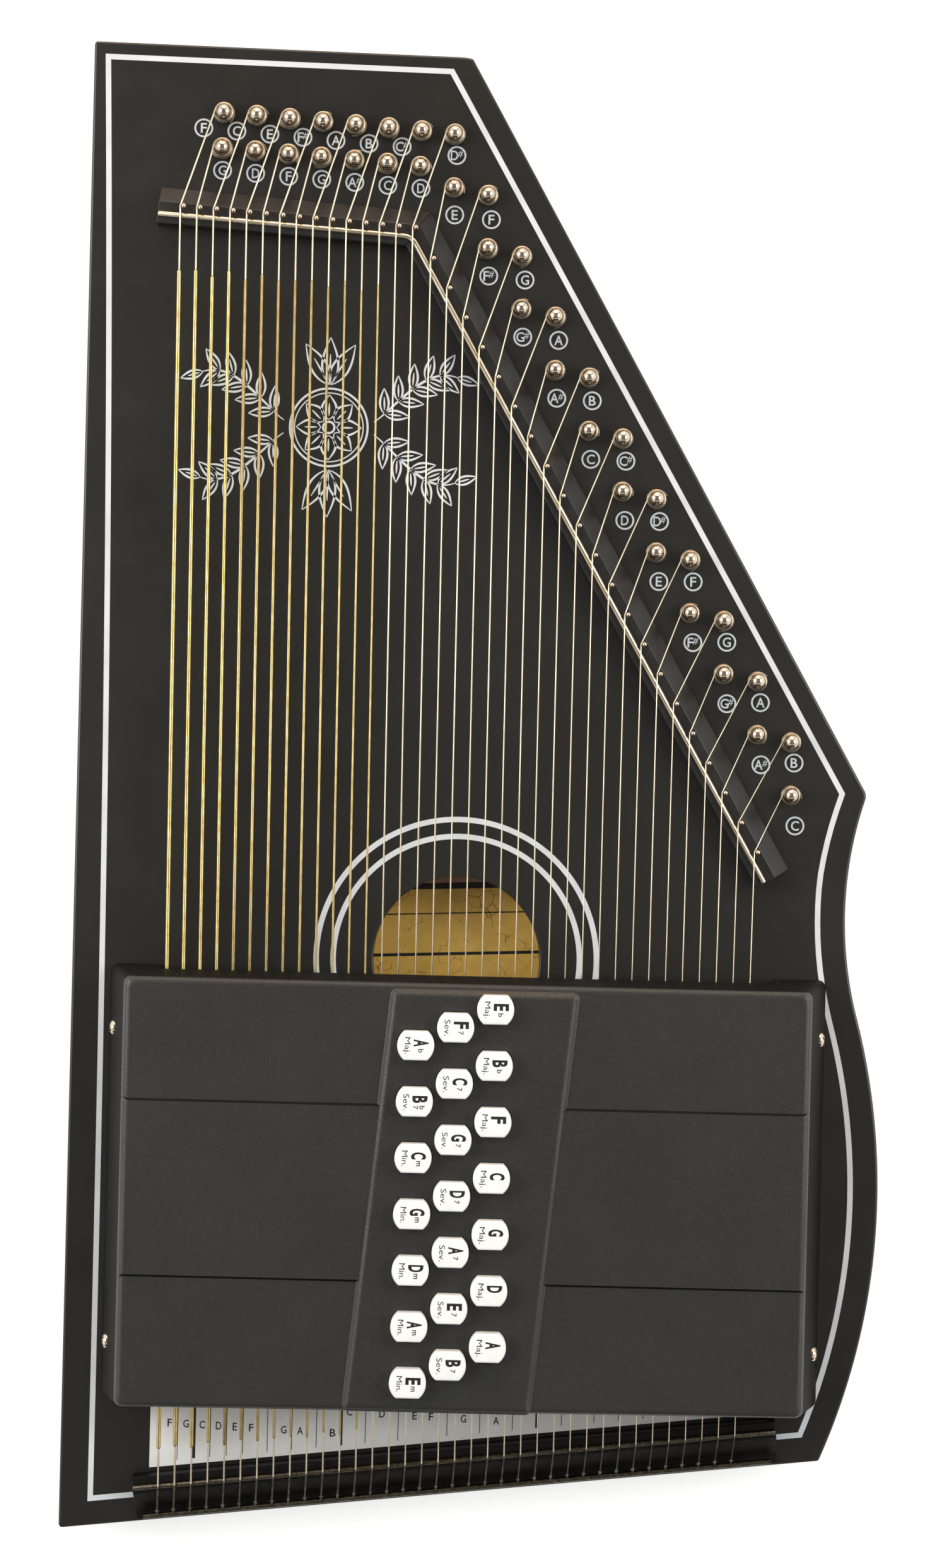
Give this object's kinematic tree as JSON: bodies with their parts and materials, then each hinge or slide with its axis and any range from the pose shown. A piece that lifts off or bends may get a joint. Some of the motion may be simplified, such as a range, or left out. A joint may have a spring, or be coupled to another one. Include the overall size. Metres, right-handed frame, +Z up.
{
  "type": "autoharp",
  "caption": "Autoharp with a flat trapezoidal body, strings over saddle rods, tuning pins along the slanting edge, and a raised cover with sprung chord buttons.",
  "frame": {"origin": "middle of the bottom of the bounding box, on the back panel's underside", "axes": "+Z up through the soundboard, +Y towards the tuning pins along the straight bass side, bass side at -X"},
  "size_m": [0.3154, 0.5779, 0.0781],
  "materials": {
    "black_lacquer": "satin black lacquer",
    "frame_wood": "laminated maple, outside lacquered satin black",
    "brace_wood": "plain spruce",
    "card": "matt printed card",
    "bridge_plastic": "moulded black",
    "rod_steel": "nickel plated rod",
    "string_steel": "nickel plated pins, bright steel strings, bronze wraps on the bass strings",
    "holder_plastic": "moulded black",
    "cover_plastic": "pebble textured black",
    "bar_plastic": "black bar with felt below",
    "button_plastic": "moulded white with printed chord names"
  },
  "bodies": {
    "body": {"soundboard": "black_lacquer", "back_panel": "black_lacquer", "pin_block": "frame_wood", "tail_block": "frame_wood", "bass_rail": "frame_wood", "treble_rail": "frame_wood", "soundboard_brace": "brace_wood", "scale_card": "card", "head_bridge": "bridge_plastic", "treble_bridge": "bridge_plastic", "tail_bridge": "bridge_plastic", "head_saddle_rod": "rod_steel", "treble_saddle_rod": "rod_steel", "tail_saddle_rod": "rod_steel", "strings_and_tuning_pins": "string_steel", "bass_bar_holder": "holder_plastic", "treble_bar_holder": "holder_plastic", "bar_cover": "cover_plastic"},
    "bar_01": {"chord_bar_01": "bar_plastic", "chord_button_01": "button_plastic"},
    "bar_02": {"chord_bar_02": "bar_plastic", "chord_button_02": "button_plastic"},
    "bar_03": {"chord_bar_03": "bar_plastic", "chord_button_03": "button_plastic"},
    "bar_04": {"chord_bar_04": "bar_plastic", "chord_button_04": "button_plastic"},
    "bar_05": {"chord_bar_05": "bar_plastic", "chord_button_05": "button_plastic"},
    "bar_06": {"chord_bar_06": "bar_plastic", "chord_button_06": "button_plastic"},
    "bar_07": {"chord_bar_07": "bar_plastic", "chord_button_07": "button_plastic"},
    "bar_08": {"chord_bar_08": "bar_plastic", "chord_button_08": "button_plastic"},
    "bar_09": {"chord_bar_09": "bar_plastic", "chord_button_09": "button_plastic"},
    "bar_10": {"chord_bar_10": "bar_plastic", "chord_button_10": "button_plastic"},
    "bar_11": {"chord_bar_11": "bar_plastic", "chord_button_11": "button_plastic"},
    "bar_12": {"chord_bar_12": "bar_plastic", "chord_button_12": "button_plastic"},
    "bar_13": {"chord_bar_13": "bar_plastic", "chord_button_13": "button_plastic"},
    "bar_14": {"chord_bar_14": "bar_plastic", "chord_button_14": "button_plastic"},
    "bar_15": {"chord_bar_15": "bar_plastic", "chord_button_15": "button_plastic"},
    "bar_16": {"chord_bar_16": "bar_plastic", "chord_button_16": "button_plastic"},
    "bar_17": {"chord_bar_17": "bar_plastic", "chord_button_17": "button_plastic"},
    "bar_18": {"chord_bar_18": "bar_plastic", "chord_button_18": "button_plastic"},
    "bar_19": {"chord_bar_19": "bar_plastic", "chord_button_19": "button_plastic"},
    "bar_20": {"chord_bar_20": "bar_plastic", "chord_button_20": "button_plastic"},
    "bar_21": {"chord_bar_21": "bar_plastic", "chord_button_21": "button_plastic"}
  },
  "joints": [
    {"name": "press_01", "type": "slide", "parent": "body", "child": "bar_01", "axis": [0, 0, -1], "range_m": [0, 0.003], "stiffness_N_per_m": 600, "springref_m": -0.004},
    {"name": "press_02", "type": "slide", "parent": "body", "child": "bar_02", "axis": [0, 0, -1], "range_m": [0, 0.003], "stiffness_N_per_m": 600, "springref_m": -0.004},
    {"name": "press_03", "type": "slide", "parent": "body", "child": "bar_03", "axis": [0, 0, -1], "range_m": [0, 0.003], "stiffness_N_per_m": 600, "springref_m": -0.004},
    {"name": "press_04", "type": "slide", "parent": "body", "child": "bar_04", "axis": [0, 0, -1], "range_m": [0, 0.003], "stiffness_N_per_m": 600, "springref_m": -0.004},
    {"name": "press_05", "type": "slide", "parent": "body", "child": "bar_05", "axis": [0, 0, -1], "range_m": [0, 0.003], "stiffness_N_per_m": 600, "springref_m": -0.004},
    {"name": "press_06", "type": "slide", "parent": "body", "child": "bar_06", "axis": [0, 0, -1], "range_m": [0, 0.003], "stiffness_N_per_m": 600, "springref_m": -0.004},
    {"name": "press_07", "type": "slide", "parent": "body", "child": "bar_07", "axis": [0, 0, -1], "range_m": [0, 0.003], "stiffness_N_per_m": 600, "springref_m": -0.004},
    {"name": "press_08", "type": "slide", "parent": "body", "child": "bar_08", "axis": [0, 0, -1], "range_m": [0, 0.003], "stiffness_N_per_m": 600, "springref_m": -0.004},
    {"name": "press_09", "type": "slide", "parent": "body", "child": "bar_09", "axis": [0, 0, -1], "range_m": [0, 0.003], "stiffness_N_per_m": 600, "springref_m": -0.004},
    {"name": "press_10", "type": "slide", "parent": "body", "child": "bar_10", "axis": [0, 0, -1], "range_m": [0, 0.003], "stiffness_N_per_m": 600, "springref_m": -0.004},
    {"name": "press_11", "type": "slide", "parent": "body", "child": "bar_11", "axis": [0, 0, -1], "range_m": [0, 0.003], "stiffness_N_per_m": 600, "springref_m": -0.004},
    {"name": "press_12", "type": "slide", "parent": "body", "child": "bar_12", "axis": [0, 0, -1], "range_m": [0, 0.003], "stiffness_N_per_m": 600, "springref_m": -0.004},
    {"name": "press_13", "type": "slide", "parent": "body", "child": "bar_13", "axis": [0, 0, -1], "range_m": [0, 0.003], "stiffness_N_per_m": 600, "springref_m": -0.004},
    {"name": "press_14", "type": "slide", "parent": "body", "child": "bar_14", "axis": [0, 0, -1], "range_m": [0, 0.003], "stiffness_N_per_m": 600, "springref_m": -0.004},
    {"name": "press_15", "type": "slide", "parent": "body", "child": "bar_15", "axis": [0, 0, -1], "range_m": [0, 0.003], "stiffness_N_per_m": 600, "springref_m": -0.004},
    {"name": "press_16", "type": "slide", "parent": "body", "child": "bar_16", "axis": [0, 0, -1], "range_m": [0, 0.003], "stiffness_N_per_m": 600, "springref_m": -0.004},
    {"name": "press_17", "type": "slide", "parent": "body", "child": "bar_17", "axis": [0, 0, -1], "range_m": [0, 0.003], "stiffness_N_per_m": 600, "springref_m": -0.004},
    {"name": "press_18", "type": "slide", "parent": "body", "child": "bar_18", "axis": [0, 0, -1], "range_m": [0, 0.003], "stiffness_N_per_m": 600, "springref_m": -0.004},
    {"name": "press_19", "type": "slide", "parent": "body", "child": "bar_19", "axis": [0, 0, -1], "range_m": [0, 0.003], "stiffness_N_per_m": 600, "springref_m": -0.004},
    {"name": "press_20", "type": "slide", "parent": "body", "child": "bar_20", "axis": [0, 0, -1], "range_m": [0, 0.003], "stiffness_N_per_m": 600, "springref_m": -0.004},
    {"name": "press_21", "type": "slide", "parent": "body", "child": "bar_21", "axis": [0, 0, -1], "range_m": [0, 0.003], "stiffness_N_per_m": 600, "springref_m": -0.004}
  ]
}
